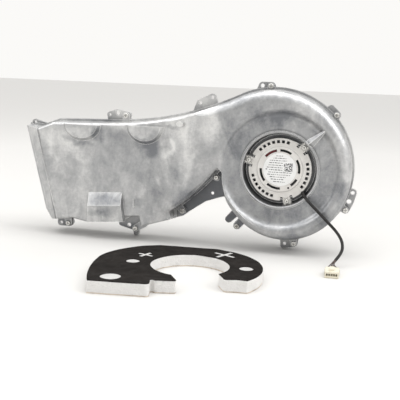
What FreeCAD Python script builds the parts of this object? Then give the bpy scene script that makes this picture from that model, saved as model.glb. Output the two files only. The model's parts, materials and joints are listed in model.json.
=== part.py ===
import FreeCAD
import Part

import math
import os

# Centrifugal blower with a die-cast scroll casing, a flat outlet duct and an external-rotor motor.
# Frame: the spin axis is Y, +Z is up, the motor side faces -Y. The origin is the centre of the
# inlet collar's mouth on the spin axis. All lengths are in millimetres, all angles in degrees.

# Depths along Y, from the inlet side (0) to the motor side (negative)
REAR_FACE = -15.0
PARTING = -34.0
DUCT_FACE = -68.0
SCROLL_FACE = -78.0
DISH_FACE = -72.0
WELL_FLOOR = -56.0
COVER_FACE = -64.0

# Casing
WALL = 2.5
FLANGE_WIDTH = 3.5
FLANGE_THICKNESS = 3.0
GASKET_THICKNESS = 0.8
EDGE_RADIUS = 4.0
REAR_EDGE_RADIUS = 2.0
SHOULDER_RADIUS = 13.0
SCROLL_START = (-77.6, -12.0)
SCROLL_HEADING = -89.4
SCROLL_ARCS = [(85.2, 146.6), (102.1, 34.5), (107.8, 114.4), (441.5, -24.2)]
DUCT_TOP_RUN = 86.5
RAMP_START_X = -100.0
RAMP_LENGTH = 62.0
OUTLET_TOP = (-369.0, 40.0)
OUTLET_BOTTOM = (-339.5, -80.0)
OUTLET_STRIP = 18.0
DUCT_CORNERS = [(-350.0, 37.5), OUTLET_TOP, OUTLET_BOTTOM, (-329.0, -95.0), (-296.0, -90.0), (-274.0, -94.0),
                (-228.0, -90.5), (-215.0, -82.0), (-196.0, -80.0), (-192.5, -94.5), (-150.5, -81.0),
                (-152.0, -69.5)]
NOTCH_MIDDLE = (-117.0, -40.5)
NOTCH_TIP = (-87.2, -6.6)
NOTCH_CORNER = (-81.5, -5.0)
SHOULDER_START_TURN = 42.0
SHOULDER_LEAD_IN = 45.0
SHOULDER_FADE = (230.0, -30.0)

# Details of the duct's face: raised pads (centre, half width, height), swelling, button, rib
FACE_PADS = [((-281.0, 46.4), 27.5, 23.0), ((-189.0, 49.0), 27.0, 25.0)]
FACE_PAD_RISE = 5.0
SWELLING_TOP = [(-269.8, -50.0), (-220.6, -47.0)]
SWELLING_BOTTOM = [(-273.0, -92.5), (-214.5, -88.0)]
SWELLING_DEPTHS = (DUCT_FACE - 0.6, DUCT_FACE - 8.5, DUCT_FACE - 5.0)
BUTTON_CENTRE = (-138.0, 55.0)
BUTTON_RADII = (5.0, 3.5)
BUTTON_FACE = DUCT_FACE - 8.5
FACE_RIB_CORNER = (-204.2, -66.5)
FACE_RIB_SIZE = (1.6, 2.4, 11.5)

# Plate in the corner between the scroll and the duct
WEB_OUTLINE = [(-153.0, -66.0), (-151.0, -85.0), (-138.0, -80.5), (-126.0, -71.0), (-105.6, -57.0),
               (-86.0, -50.0), (-70.0, -46.0), (-76.0, -20.0), (-84.0, -4.0), (-100.0, -18.0), (-120.0, -40.0)]
WEB_HOLE = (-96.6, -44.5)

# Each casting is made as two solids that meet on this plane, between the duct and the scroll
SPLIT_X = -125.0

# Motor opening, inlet and wheel
OPENING_RADIUS = 49.5
WELL_RADIUS = 47.2
MOTOR_HOLE_RADIUS = 42.0
DISH_RADIUS = 71.0
CREST_RADIUS = 84.0
INLET_BORE = 45.0
COLLAR_RADIUS = 47.7
WHEEL_RADIUS = 72.0
BLADE_INNER_RADIUS = 59.0
BLADE_COUNT = 38
WHEEL_FRONT = -63.0
WHEEL_REAR = -20.0

# Motor
COVER_RADIUS = 42.5
COVER_THICKNESS = 1.2
COVER_BACK = COVER_FACE + COVER_THICKNESS
COVER_STEP = 0.9
CASE_RADIUS = 40.5
LUG_RADIUS = 44.3
TAB_END_RADIUS = 49.2
GROMMET_COLLAR = 1.4
LUG_POCKET_RADIUS = 49.55
LUG_ANGLES = [165.6, 45.6, -74.4]
VENT_RING_RADIUS = 37.8
VENT_SIZE = (4.2, 4.0)
SLOT_RING_RADIUS = 26.0
SLOT_WIDTH = 3.4
COVER_SLOTS = [(101.6, 140.5), (56.9, 91.8), (-9.0, 32.5), (-52.9, -27.5), (-128.2, -86.8),
               (179.4, 219.5)]
LABEL_RADIUS = 22.5
LABEL_THICKNESS = 0.25
CASE_FLOOR = -51.8
CASE_WALL = 1.0
ROTOR_RADIUS = 33.0
SHAFT_RADIUS = 2.5
BEARING_RADIUS = 6.5
BEARING_WIDTH = 4.0
TOOTH_COUNT = 12

# Fixing ears: (centre x, centre z, hole diameter)
MOUNT_HOLES = {
    "corner": (-366.5, 43.0, 4.2),
    "duct_top_small": (-251.3, 59.5, 3.6),
    "duct_top": (-239.7, 62.5, 6.4),
    "plate_left": (-119.2, 82.5, 4.2),
    "plate_right": (-102.0, 91.0, 4.2),
    "scroll_top": (-32.9, 110.0, 5.3),
    "right_small": (98.6, -30.5, 5.3),
    "right": (94.4, -42.8, 6.4),
    "scroll_bottom": (9.6, -109.2, 4.2),
    "duct_corner": (-325.6, -105.5, 4.2),
    "duct_bottom": (-219.6, -100.6, 5.3),
}
# Plates that carry the holes and screws: circles (x, z, radius) joined in a chain
EAR_PLATES = [
    [(-366.5, 43.0, 4.6), (-354.0, 36.0, 8.0)],
    [(-251.3, 59.5, 4.4), (-239.7, 62.5, 5.6), (-225.8, 59.5, 5.4), (-226.0, 50.0, 6.0),
     (-248.0, 50.0, 6.0)],
    [(-119.2, 82.5, 5.2), (-102.0, 91.0, 5.2), (-98.0, 80.0, 5.0), (-124.0, 70.0, 5.0)],
    [(-32.9, 110.0, 5.4), (-20.7, 109.8, 5.6), (-18.0, 101.0, 6.0), (-36.0, 100.0, 6.0)],
    [(69.8, 74.6, 5.6), (62.0, 84.0, 4.4), (54.0, 76.0, 6.0), (64.0, 66.0, 6.0)],
    [(98.6, -30.5, 5.6), (94.4, -42.8, 6.6), (90.3, -54.2, 5.6), (80.0, -50.0, 6.0), (90.0, -28.0, 6.0)],
    [(7.8, -112.3, 4.2), (22.5, -107.3, 5.6), (24.0, -94.0, 6.0), (8.0, -95.0, 6.0)],
    [(-71.9, -80.4, 5.2), (-62.0, -70.0, 6.0)],
    [(-59.2, -88.6, 5.6), (-50.0, -78.0, 6.0)],
    [(-326.5, -105.5, 5.0), (-312.5, -104.5, 5.6), (-312.0, -90.0, 6.0), (-324.0, -90.0, 6.0)],
    [(-231.0, -99.0, 4.4), (-219.6, -100.6, 5.6), (-208.6, -104.0, 5.2), (-208.0, -84.0, 6.0),
     (-228.0, -84.0, 6.0)],
    [(-208.6, -104.0, 5.2), (-208.6, -112.3, 4.2)],
]
JOIN_SCREWS = [(-20.7, 109.8), (69.8, 74.6), (90.3, -54.2), (22.5, -107.3), (-59.2, -88.6),
               (-91.5, -21.0), (-225.8, 59.5), (-208.6, -104.0), (-312.5, -104.5), (-139.0, -72.5)]
EAR_THICKNESS = 3.6
JOIN_SCREW_RADIUS = 1.75
JOIN_HEAD_RADIUS = 3.6
BOSS_RADIUS = 4.8

# What the casing's lowest ears, the connector and the foam pad stand on
FLOOR = -116.5

# Foam pad, lying in front of the casing; (x, y) places are measured from its ring's centre
PAD_RING_CENTRE = (-87.5, -214.0)
PAD_RING_RADIUS = 47.8
PAD_OUTER_RADIUS = 87.8
PAD_THICKNESS = 15.0
PAD_FILM = 0.6
PAD_FILM_HOLES = [(-70.0, -5.1, 8.3), (-75.7, -74.3, 12.0), (67.6, 6.6, 8.5)]
PAD_FILM_CROSSES = [(-64.1, 29.9, -22.0, 23.0, 5.4), (31.5, 61.0, -28.0, 32.0, 6.2)]

# Motor lead: control points of its route, from the motor to the connector
CABLE_RADIUS = 2.0
CABLE_ROUTE = [(33.1, -64.5, -30.5), (35.2, -75.5, -32.4), (42.5, -84.0, -38.6), (56.0, -86.4, -50.4),
               (69.3, -86.6, -63.2), (81.0, -89.0, -73.8), (88.8, -93.5, -83.8), (91.0, -99.0, -93.4),
               (88.0, -105.5, -101.2), (82.6, -112.5, -107.0)]
LEAD_RADIUS = 0.65
LEAD_COUNT = 5
LEAD_RING_RADIUS = 1.2
LEAD_RING_ANGLES = [162.0, 234.0, 90.0, 306.0, 18.0]
CONNECTOR_SIZE = (17.0, 23.0, 8.4)
CONNECTOR_CENTRE_X = 80.0
CONNECTOR_REAR = -141.0
CONNECTOR_PITCH = 2.9
LEAD_HEIGHT = FLOOR + 4.2


def vec(x, y, z):
    return FreeCAD.Vector(x, y, z)


def turned(x, z, heading, distance):
    """Point at a distance along a heading in the XZ plane."""
    angle = math.radians(heading)
    return (x + distance * math.cos(angle), z + distance * math.sin(angle))


def polar(radius, angle):
    return (radius * math.cos(math.radians(angle)), radius * math.sin(math.radians(angle)))


def arc_step(x, z, heading, radius, turn):
    """Arc edge in the XZ plane that leaves (x, z) along heading and turns left (or right if negative)."""
    side = 90.0 if turn > 0 else -90.0
    cx, cz = turned(x, z, heading + side, radius)
    mid = turned(cx, cz, heading - side + turn / 2.0, radius)
    end = turned(cx, cz, heading - side + turn, radius)
    edge = Part.Arc(vec(x, 0, z), vec(mid[0], 0, mid[1]), vec(end[0], 0, end[1])).toShape()
    return edge, end, heading + turn


def line(a, b):
    return Part.LineSegment(vec(a[0], 0, a[1]), vec(b[0], 0, b[1])).toShape()


def arc_through(a, b, c):
    return Part.Arc(vec(a[0], 0, a[1]), vec(b[0], 0, b[1]), vec(c[0], 0, c[1])).toShape()


def polygon_face(points):
    wire = Part.makePolygon([vec(x, 0, z) for x, z in points] + [vec(points[0][0], 0, points[0][1])])
    return Part.Face(wire)


def triangle(a, b, c):
    return Part.Face(Part.makePolygon([a, b, c, a]))


def prism(face, near, far):
    """Extrude a face of the XZ plane from depth near to depth far."""
    moved = face.copy()
    moved.translate(vec(0, near, 0))
    return moved.extrude(vec(0, far - near, 0))


def disc(radius, near, far, centre=(0.0, 0.0)):
    return Part.makeCylinder(radius, abs(far - near), vec(centre[0], min(near, far), centre[1]), vec(0, 1, 0))


def ring(outer, inner, near, far, centre=(0.0, 0.0)):
    low, high = min(near, far), max(near, far)
    return disc(outer, low, high, centre).cut(disc(inner, low - 1, high + 1, centre))


def revolve(profile, sweep=360.0, axis_point=(0.0, 0.0)):
    """Turn a closed profile of (radius, depth) points about an axis parallel to Y."""
    ax, az = axis_point
    wire = Part.makePolygon([vec(ax + r, y, az) for r, y in profile + profile[:1]])
    return Part.Face(wire).revolve(vec(ax, 0, az), vec(0, 1, 0), sweep)


def fuse_all(shapes):
    result = shapes[0]
    for shape in shapes[1:]:
        result = result.fuse(shape)
    return result.removeSplitter()


def save(name, shape):
    if isinstance(shape, list):
        shape = Part.makeCompound(shape)
    solids = shape.Solids
    if len(solids) == 1:
        shape = solids[0]
    if not shape.isValid() or not solids:
        print("check this shape:", name)
    shape.exportStep("parts/" + name + ".step")
    print(name, len(solids), "solids", round(shape.Volume), "mm3")


def two_halves(shape):
    """Solids on each side of the split plane; they touch face to face."""
    duct_side = Part.makeBox(400.0, 400.0, 400.0, vec(SPLIT_X - 400.0, -300.0, -200.0))
    return shape.common(duct_side).Solids + shape.cut(duct_side).Solids


# Casing outlines

def scroll_path():
    """Edges of the spiral wall, with each arc's start and heading kept for the shoulder cut."""
    x, z = SCROLL_START
    heading = SCROLL_HEADING
    edges = []
    steps = []
    for radius, turn in SCROLL_ARCS:
        steps.append((x, z, heading, radius, turn))
        edge, (x, z), heading = arc_step(x, z, heading, radius, turn)
        edges.append(edge)
    return edges, steps, (x, z), heading


def wall_face():
    """Outline of the casing wall, scroll and duct together."""
    edges, steps, (x, z), heading = scroll_path()
    duct_top = turned(x, z, heading, DUCT_TOP_RUN)
    edges.append(line((x, z), duct_top))
    corners = [duct_top] + DUCT_CORNERS
    for a, b in zip(corners, corners[1:]):
        edges.append(line(a, b))
    edges.append(arc_through(corners[-1], NOTCH_MIDDLE, NOTCH_TIP))
    edges.append(arc_through(NOTCH_TIP, NOTCH_CORNER, SCROLL_START))
    return Part.Face(Part.Wire(Part.__sortEdges__(edges)))


def offset_face(face, distance):
    return face.makeOffset2D(distance)


def depth_profile(shift):
    """Top view of the casing: duct face, smooth ramp and scroll face, moved inwards by shift."""
    duct = DUCT_FACE + shift
    scroll = SCROLL_FACE + shift
    rise = duct - scroll
    x1 = RAMP_START_X
    x0 = x1 - RAMP_LENGTH
    radius = (RAMP_LENGTH ** 2 + rise ** 2) / (4.0 * rise)
    middle = vec((x0 + x1) / 2.0, (duct + scroll) / 2.0, 0)
    half = math.asin(RAMP_LENGTH / 2.0 / radius) / 2.0
    lower = vec(x0 + radius * math.sin(half), duct - radius * (1 - math.cos(half)), 0)
    upper = vec(x1 - radius * math.sin(half), scroll + radius * (1 - math.cos(half)), 0)
    edges = [Part.LineSegment(vec(-420, 0, 0), vec(-420, duct, 0)).toShape(),
             Part.LineSegment(vec(-420, duct, 0), vec(x0, duct, 0)).toShape(),
             Part.Arc(vec(x0, duct, 0), lower, middle).toShape(),
             Part.Arc(middle, upper, vec(x1, scroll, 0)).toShape(),
             Part.LineSegment(vec(x1, scroll, 0), vec(160, scroll, 0)).toShape(),
             Part.LineSegment(vec(160, scroll, 0), vec(160, 0, 0)).toShape(),
             Part.LineSegment(vec(160, 0, 0), vec(-420, 0, 0)).toShape()]
    face = Part.Face(Part.Wire(edges))
    face.translate(vec(0, 0, -200))
    return face.extrude(vec(0, 0, 400))


def shoulder_profile(radius, shift):
    """Corner region that rounds the scroll's outer edge: points of (distance inside the wall, depth)."""
    top = SCROLL_FACE + shift
    lean = 0.12
    first = (-lean, top + radius)
    last = (radius, top - lean)
    bow = radius * (1 - math.cos(math.radians(45)))
    middle = (bow - lean * 0.7, top + bow - lean * 0.7)
    return first, middle, last, (radius, top - 8.0), (-8.0, top - 8.0), (-8.0, top + radius)


def shoulder_section(x, z, heading, radius, shift, inset):
    """Shoulder profile as a face, standing across the wall at (x, z)."""
    def place(point):
        px, pz = turned(x, z, heading + 90.0, point[0] + inset)
        return vec(px, point[1], pz)
    points = [place(p) for p in shoulder_profile(radius, shift)]
    edges = [Part.Arc(points[0], points[1], points[2]).toShape()]
    loop = points[2:] + points[:1]
    edges += [Part.LineSegment(a, b).toShape() for a, b in zip(loop, loop[1:])]
    return Part.Face(Part.Wire(edges))


def shoulder_cut(radius, shift, inset):
    """Tools that round the scroll's outer edge and fade out at the duct and beside the tongue."""
    steps = scroll_path()[1]
    start_turn = SHOULDER_START_TURN
    tools = []
    x, z, heading, arc_radius, turn = steps[0]
    cx, cz = turned(x, z, heading + 90.0, arc_radius)
    sx, sz = turned(cx, cz, heading - 90.0 + start_turn, arc_radius)
    back = turned(sx, sz, heading + start_turn + 180.0, SHOULDER_LEAD_IN)
    section = shoulder_section(back[0], back[1], heading + start_turn, radius, shift, inset)
    tools.append(section.extrude(vec(sx - back[0], 0, sz - back[1])))
    parts = [(sx, sz, heading + start_turn, arc_radius, turn - start_turn)] + list(steps[1:3])
    parts.append(steps[3][:3] + SHOULDER_FADE)
    for x, z, heading, arc_radius, turn in parts:
        side = 90.0 if turn > 0 else -90.0
        cx, cz = turned(x, z, heading + side, arc_radius)
        section = shoulder_section(x, z, heading, radius, shift, inset)
        axis = vec(0, -1, 0) if turn > 0 else vec(0, 1, 0)
        tools.append(section.revolve(vec(cx, 0, cz), axis, abs(turn)))
    return tools


def front_edges(solid, limit):
    """Edges where the walls meet the front face."""
    chosen = []
    for edge in solid.Edges:
        box = edge.BoundBox
        if box.YMax < limit and box.XMax - box.XMin + box.ZMax - box.ZMin > 0.5:
            chosen.append(edge)
    return chosen


def dish_tool(shift):
    """Hollow of the scroll face around the motor opening, rising to the crest in two arcs."""
    floor = DISH_FACE + shift
    top = SCROLL_FACE + shift
    run = CREST_RADIUS - DISH_RADIUS
    rise = floor - top
    middle = ((DISH_RADIUS + CREST_RADIUS) / 2.0, (floor + top) / 2.0)
    radius = (run ** 2 + rise ** 2) / (4.0 * rise)
    half = math.asin(run / 2.0 / radius) / 2.0
    low = (DISH_RADIUS + radius * math.sin(half), floor - radius * (1 - math.cos(half)))
    high = (CREST_RADIUS - radius * math.sin(half), top + radius * (1 - math.cos(half)))

    def at(point):
        return vec(point[0], point[1], 0)
    edges = [Part.LineSegment(at((0, floor)), at((DISH_RADIUS, floor))).toShape(),
             Part.Arc(at((DISH_RADIUS, floor)), at(low), at(middle)).toShape(),
             Part.Arc(at(middle), at(high), at((CREST_RADIUS, top))).toShape(),
             Part.LineSegment(at((CREST_RADIUS, top)), at((CREST_RADIUS + 0.5, top - 6))).toShape(),
             Part.LineSegment(at((CREST_RADIUS + 0.5, top - 6)), at((0, top - 6))).toShape(),
             Part.LineSegment(at((0, top - 6)), at((0, floor))).toShape()]
    return Part.Face(Part.Wire(edges)).revolve(vec(0, 0, 0), vec(0, 1, 0), 360)


def casing_body(inset, shift):
    """Solid of the casing's front half; the outer skin has no inset, the cavity has one wall."""
    face = wall_face() if inset == 0 else offset_face(wall_face(), -inset)
    body = prism(face, PARTING, SCROLL_FACE - 4).common(depth_profile(shift))
    if inset == 0:
        body = body.makeFillet(EDGE_RADIUS, front_edges(body, DUCT_FACE + 4))
    for tool in shoulder_cut(SHOULDER_RADIUS - inset, shift, inset):
        body = body.cut(tool)
    return body.cut(dish_tool(shift))


def outlet_frame():
    """Outlet end: start point, unit direction along its edge and unit direction out of the duct."""
    dx, dz = OUTLET_BOTTOM[0] - OUTLET_TOP[0], OUTLET_BOTTOM[1] - OUTLET_TOP[1]
    length = math.hypot(dx, dz)
    return OUTLET_TOP, (dx / length, dz / length), (dz / length, -dx / length), length


def outlet_prism(section, along_start, along_end):
    """Prism that runs along the outlet's edge; section points are (distance out of the duct, depth)."""
    (x, z), along, out, length = outlet_frame()
    points = [vec(x + along[0] * along_start + out[0] * n, y, z + along[1] * along_start + out[1] * n)
              for n, y in section]
    face = Part.Face(Part.makePolygon(points + points[:1]))
    run = along_end - along_start
    return face.extrude(vec(along[0] * run, 0, along[1] * run))


def outlet_strip(shift):
    """Wedge taken off the face along the outlet, so that its rim lies behind the duct face."""
    inner = -OUTLET_STRIP
    section = [(inner, DUCT_FACE + 1.6 + shift), (6.0, DUCT_FACE + 13.0 + shift), (6.0, DUCT_FACE - 14.0),
               (inner, DUCT_FACE - 14.0)]
    return outlet_prism(section, -30.0, 150.0)


def outlet_mouth(near, far):
    """Straight way out of the duct through its end."""
    length = outlet_frame()[3]
    return outlet_prism([(-8.0, near), (12.0, near), (12.0, far), (-8.0, far)], 3.0, length - 2.0)


def stadium(a, b, near, far):
    """Plate around two circles (x, z, radius) and the strip between them."""
    dx, dz = b[0] - a[0], b[1] - a[1]
    nx, nz = -dz / math.hypot(dx, dz), dx / math.hypot(dx, dz)
    corners = [(a[0] + nx * a[2], a[1] + nz * a[2]), (b[0] + nx * b[2], b[1] + nz * b[2]),
               (b[0] - nx * b[2], b[1] - nz * b[2]), (a[0] - nx * a[2], a[1] - nz * a[2])]
    return [disc(a[2], near, far, a), disc(b[2], near, far, b), prism(polygon_face(corners), near, far)]


def ear_plate(circles, near, far):
    pieces = []
    pairs = list(zip(circles, circles[1:]))
    if len(circles) > 2:
        pairs.append((circles[-1], circles[0]))
        pieces.append(prism(polygon_face([(c[0], c[1]) for c in circles]), near, far))
    for a, b in pairs:
        pieces += stadium(a, b, near, far)
    return fuse_all(pieces)


def toward_casing(point, distance):
    """Point moved towards the nearest part of the casing wall outline."""
    probe = Part.Vertex(vec(point[0], 0, point[1]))
    near = wall_face().OuterWire.distToShape(probe)[1][0][0]
    dx, dz = near.x - point[0], near.z - point[1]
    length = math.hypot(dx, dz)
    reach = min(distance, length)
    return point[0] + dx / length * reach, point[1] + dz / length * reach


def join_lug(point, near, far):
    root = toward_casing(point, 14.0)
    return fuse_all(stadium(point + (BOSS_RADIUS,), root + (BOSS_RADIUS + 1.0,), near, far))


def face_pad(centre, half_width, height):
    """Raised half-oval pad that hangs down from the duct's top edge."""
    rise = FACE_PAD_RISE
    cx, cz = centre
    left, right = (cx - half_width, cz), (cx + half_width, cz)
    edges = [Part.LineSegment(vec(left[0], 0, left[1]), vec(right[0], 0, right[1])).toShape()]
    ellipse = Part.Ellipse(vec(cx, 0, cz), half_width, height)
    if half_width >= height:
        ellipse = Part.Ellipse(vec(cx + half_width, 0, cz), vec(cx, 0, cz - height), vec(cx, 0, cz))
    edges.append(Part.ArcOfEllipse(ellipse, 0.0, math.pi).toShape())
    face = Part.Face(Part.Wire(Part.__sortEdges__(edges)))
    body = prism(face, DUCT_FACE + 1.0, DUCT_FACE - rise)
    rim = [e for e in body.Edges if e.BoundBox.YMax < DUCT_FACE - rise + 0.1 and e.BoundBox.ZMin < cz - 1.0]
    return body.makeChamfer(rise - 0.6, rim)


def ridge_block(top_points, bottom_points, depths):
    """Wedge-shaped swelling of the duct face: a top edge, a crest line and a bottom edge."""
    top_y, crest_y, bottom_y = depths
    (x1, z1), (x2, z2) = top_points
    (x3, z3), (x4, z4) = bottom_points
    crest = 0.42
    c1 = (x1 + (x3 - x1) * crest + 2.0, z1 + (z3 - z1) * crest)
    c2 = (x2 + (x4 - x2) * crest - 2.0, z2 + (z4 - z2) * crest)
    base = DUCT_FACE + 1.0
    front = [vec(x1, top_y, z1), vec(x2, top_y, z2), vec(c2[0], crest_y, c2[1]), vec(c1[0], crest_y, c1[1])]
    lower = [vec(x3 + 3.0, bottom_y, z3), vec(x4 - 3.0, bottom_y, z4)]
    root = [vec(x3, base, z3), vec(x4, base, z4), vec(x2, base, z2), vec(x1, base, z1)]

    def quad(a, b, c, d):
        return [triangle(a, b, c), triangle(a, c, d)]
    faces = quad(front[0], front[1], front[2], front[3])
    faces += quad(front[3], front[2], lower[1], lower[0])
    faces += quad(lower[0], lower[1], root[1], root[0])
    faces += quad(root[0], root[1], root[2], root[3])
    faces += quad(root[3], root[2], front[1], front[0])
    faces += [triangle(front[0], front[3], root[3]), triangle(front[3], root[0], root[3]),
              triangle(front[3], lower[0], root[0])]
    faces += [triangle(front[1], root[2], front[2]), triangle(front[2], root[2], root[1]),
              triangle(front[2], root[1], lower[1])]
    return Part.Solid(Part.Shell(faces))


def face_button():
    """Small oval boss beside the ramp."""
    (x, z), (half_width, half_height) = BUTTON_CENTRE, BUTTON_RADII
    oval = Part.Ellipse(vec(x + half_width, 0, z), vec(x, 0, z + half_height), vec(x, 0, z))
    return prism(Part.Face(Part.Wire([oval.toShape()])), DUCT_FACE + 4.0, BUTTON_FACE)


def outlet_bead():
    """Low bead along the line where the face drops to the outlet's rim."""
    middle = -OUTLET_STRIP
    section = [(middle - 1.1, DUCT_FACE + 1.0), (middle + 0.9, DUCT_FACE + 2.2),
               (middle + 0.5, DUCT_FACE - 1.0), (middle - 0.5, DUCT_FACE - 1.0)]
    return outlet_prism(section, 4.0, outlet_frame()[3] - 3.0)


def dish_rib():
    """Low ridge that runs across the dish from the upper right motor lug to the crest."""
    angle = LUG_ANGLES[1]
    start = polar(52.0, angle)
    end = polar(88.0, angle - 1.5)
    low = polar(50.0, angle - 9.0)
    points = [vec(start[0], DISH_FACE + 1, start[1]), vec(end[0], DISH_FACE + 1, end[1]),
              vec(low[0], DISH_FACE + 1, low[1])]
    peak = [vec(start[0], DISH_FACE - 3.2, start[1]), vec(end[0], DISH_FACE - 5.4, end[1])]
    a, b, c = points
    p, q = peak
    side = polar(50.0, angle + 7.0)
    d = vec(side[0], DISH_FACE + 1, side[1])
    faces = [triangle(c, b, q), triangle(c, q, p), triangle(d, p, q), triangle(d, q, b),
             triangle(c, p, d), triangle(c, d, b)]
    return Part.Solid(Part.Shell(faces))


def lug_points():
    return [polar(LUG_RADIUS, angle) for angle in LUG_ANGLES]


def motor_well():
    """Funnel wall and floor ring around the motor, with the three lug bosses."""
    outer_top, outer_low = OPENING_RADIUS + WALL, WELL_RADIUS + WALL
    profile = [(OPENING_RADIUS, DISH_FACE), (outer_top, DISH_FACE), (outer_low, WELL_FLOOR + WALL),
               (MOTOR_HOLE_RADIUS, WELL_FLOOR + WALL), (MOTOR_HOLE_RADIUS, WELL_FLOOR),
               (WELL_RADIUS, WELL_FLOOR)]
    well = revolve(profile)
    bosses = [disc(6.2, WELL_FLOOR + WALL, COVER_BACK + GROMMET_COLLAR, p) for p in lug_points()]
    keep = disc(OPENING_RADIUS + 1.0, WELL_FLOOR + WALL + 1, DISH_FACE)
    bosses = [b.common(keep) for b in bosses]
    well = fuse_all([well] + bosses)
    for angle in LUG_ANGLES:
        middle = (LUG_POCKET_RADIUS + CASE_RADIUS) / 2.0
        length = LUG_POCKET_RADIUS - CASE_RADIUS
        pocket = radial_box(middle, angle, length, 12.0, COVER_BACK + GROMMET_COLLAR, DISH_FACE + 3.0)
        well = well.cut(pocket)
    return well


def front_shell():
    skin = casing_body(0.0, 0.0).cut(outlet_strip(0.0))
    cavity = casing_body(WALL, WALL).cut(outlet_strip(WALL))
    near = PARTING - GASKET_THICKNESS / 2.0
    flange = prism(offset_face(wall_face(), FLANGE_WIDTH), near, near - FLANGE_THICKNESS)
    pads = [face_pad(*pad) for pad in FACE_PADS]
    swelling = ridge_block(SWELLING_TOP, SWELLING_BOTTOM, SWELLING_DEPTHS)
    rib_x, rib_z = FACE_RIB_CORNER
    rib = Part.makeBox(*FACE_RIB_SIZE, vec(rib_x, DUCT_FACE - 1.4, rib_z))
    body = fuse_all([skin, flange] + pads + [swelling, face_button(), rib, outlet_bead()])
    body = body.cut(cavity).cut(prism(offset_face(wall_face(), 20.0), near, near + 10.0))
    body = body.cut(outlet_mouth(near + 1, DUCT_FACE + 18.0))
    body = body.cut(disc(OPENING_RADIUS, DISH_FACE - 12, DISH_FACE + 6))
    lip = Part.makeTorus(OPENING_RADIUS + 1.7, 1.7, vec(0, DISH_FACE, 0), vec(0, 1, 0))
    body = fuse_all([body, motor_well(), lip, dish_rib()])
    body = body.cut(outlet_prism([(-5.2, DUCT_FACE + 5.0), (-4.0, DUCT_FACE + 8.4), (-2.8, DUCT_FACE + 5.0)],
                                 -4.0, 124.0))
    body = body.cut(Part.makeBox(1.2, 3.0, 5.0, vec(-247.5, DUCT_FACE - 8.0, -87.0)))
    body = drill_front(body)
    for point in lug_points():
        body = body.cut(disc(4.2, COVER_FACE, COVER_BACK + 5.4, point))
        body = body.cut(disc(1.5, COVER_FACE, WELL_FLOOR + 1.0, point))
    return body


def drill_front(shape):
    """Clearance holes for the joining screws and the mount holes, through the front flange."""
    near = PARTING - GASKET_THICKNESS / 2.0
    for x, z in JOIN_SCREWS:
        shape = shape.cut(disc(JOIN_SCREW_RADIUS + 0.2, near + 1, near - 10, (x, z)))
    for x, z, hole in MOUNT_HOLES.values():
        shape = shape.cut(disc(hole / 2.0 + 0.6, near + 1, near - 5, (x, z)))
    return shape


def front_lugs(shell):
    """Screw lugs along the front flange, each a solid of its own against the casting."""
    near = PARTING - GASKET_THICKNESS / 2.0
    cavity = prism(offset_face(wall_face(), -WALL), near + 1, DUCT_FACE)
    lugs = []
    for point in JOIN_SCREWS:
        lug = drill_front(join_lug(point, near, near - FLANGE_THICKNESS - 1.0))
        lug = lug.cut(cavity).cut(shell)
        lugs.append(max(lug.Solids, key=lambda solid: solid.Volume))
    return lugs


def notch_web(near, far):
    """Plate that fills the corner between the scroll and the duct."""
    return prism(polygon_face(WEB_OUTLINE), near, far).cut(disc(2.0, near + 5, far - 5, WEB_HOLE))


def rear_ears(cavity):
    """Ears and screw bosses along the rear flange; each ear is a solid of its own against the tray."""
    near = PARTING + GASKET_THICKNESS / 2.0
    ears = [ear_plate(circles, near, near + EAR_THICKNESS) for circles in EAR_PLATES]
    bosses = [disc(BOSS_RADIUS, near, near + 9.0, p) for p in JOIN_SCREWS]
    ears = fuse_all(ears + bosses).cut(cavity).cut(outlet_mouth(near - 1, REAR_FACE - WALL))
    for x, z, hole in MOUNT_HOLES.values():
        ears = ears.cut(disc(hole / 2.0, near - 2, near + 12, (x, z)))
    for point in JOIN_SCREWS:
        ears = ears.cut(disc(JOIN_SCREW_RADIUS, near - 2, near + 7.5, point))
    return ears


def rear_casting():
    """Rear tray and its ears, as (tray, ears)."""
    near = PARTING + GASKET_THICKNESS / 2.0
    body = prism(wall_face(), PARTING, REAR_FACE)
    rear = [e for e in body.Edges if e.BoundBox.YMin > REAR_FACE - 0.1]
    body = body.makeFillet(REAR_EDGE_RADIUS, rear)
    cavity = prism(offset_face(wall_face(), -WALL), near - 1, REAR_FACE - WALL)
    ears = rear_ears(cavity)
    flange = prism(offset_face(wall_face(), FLANGE_WIDTH), near, near + FLANGE_THICKNESS)
    collar = disc(COLLAR_RADIUS, REAR_FACE - 1.0, 0.0)
    web = notch_web(near, near + FLANGE_THICKNESS - 0.6)
    body = fuse_all([body, flange, web, collar])
    body = body.cut(prism(offset_face(wall_face(), 20.0), near - 10.0, near))
    body = body.cut(cavity).cut(outlet_mouth(near - 1, REAR_FACE - WALL))
    body = body.cut(disc(INLET_BORE, REAR_FACE - WALL - 1, 4.0))
    for x, z, hole in MOUNT_HOLES.values():
        body = body.cut(disc(hole / 2.0, near - 2, near + 12, (x, z)))
    body = body.cut(ears)
    tray = max(body.Solids, key=lambda solid: solid.Volume)
    return tray, ears.Solids


def housing_gasket():
    """Flat seal between the two flanges."""
    outer = offset_face(wall_face(), 1.0)
    inner = offset_face(wall_face(), -1.8)
    near, far = PARTING + GASKET_THICKNESS / 2.0, PARTING - GASKET_THICKNESS / 2.0
    seal = prism(outer, near, far).cut(prism(inner, near + 1, far - 1))
    return seal.cut(outlet_mouth(near + 1, far - 1))


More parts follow.
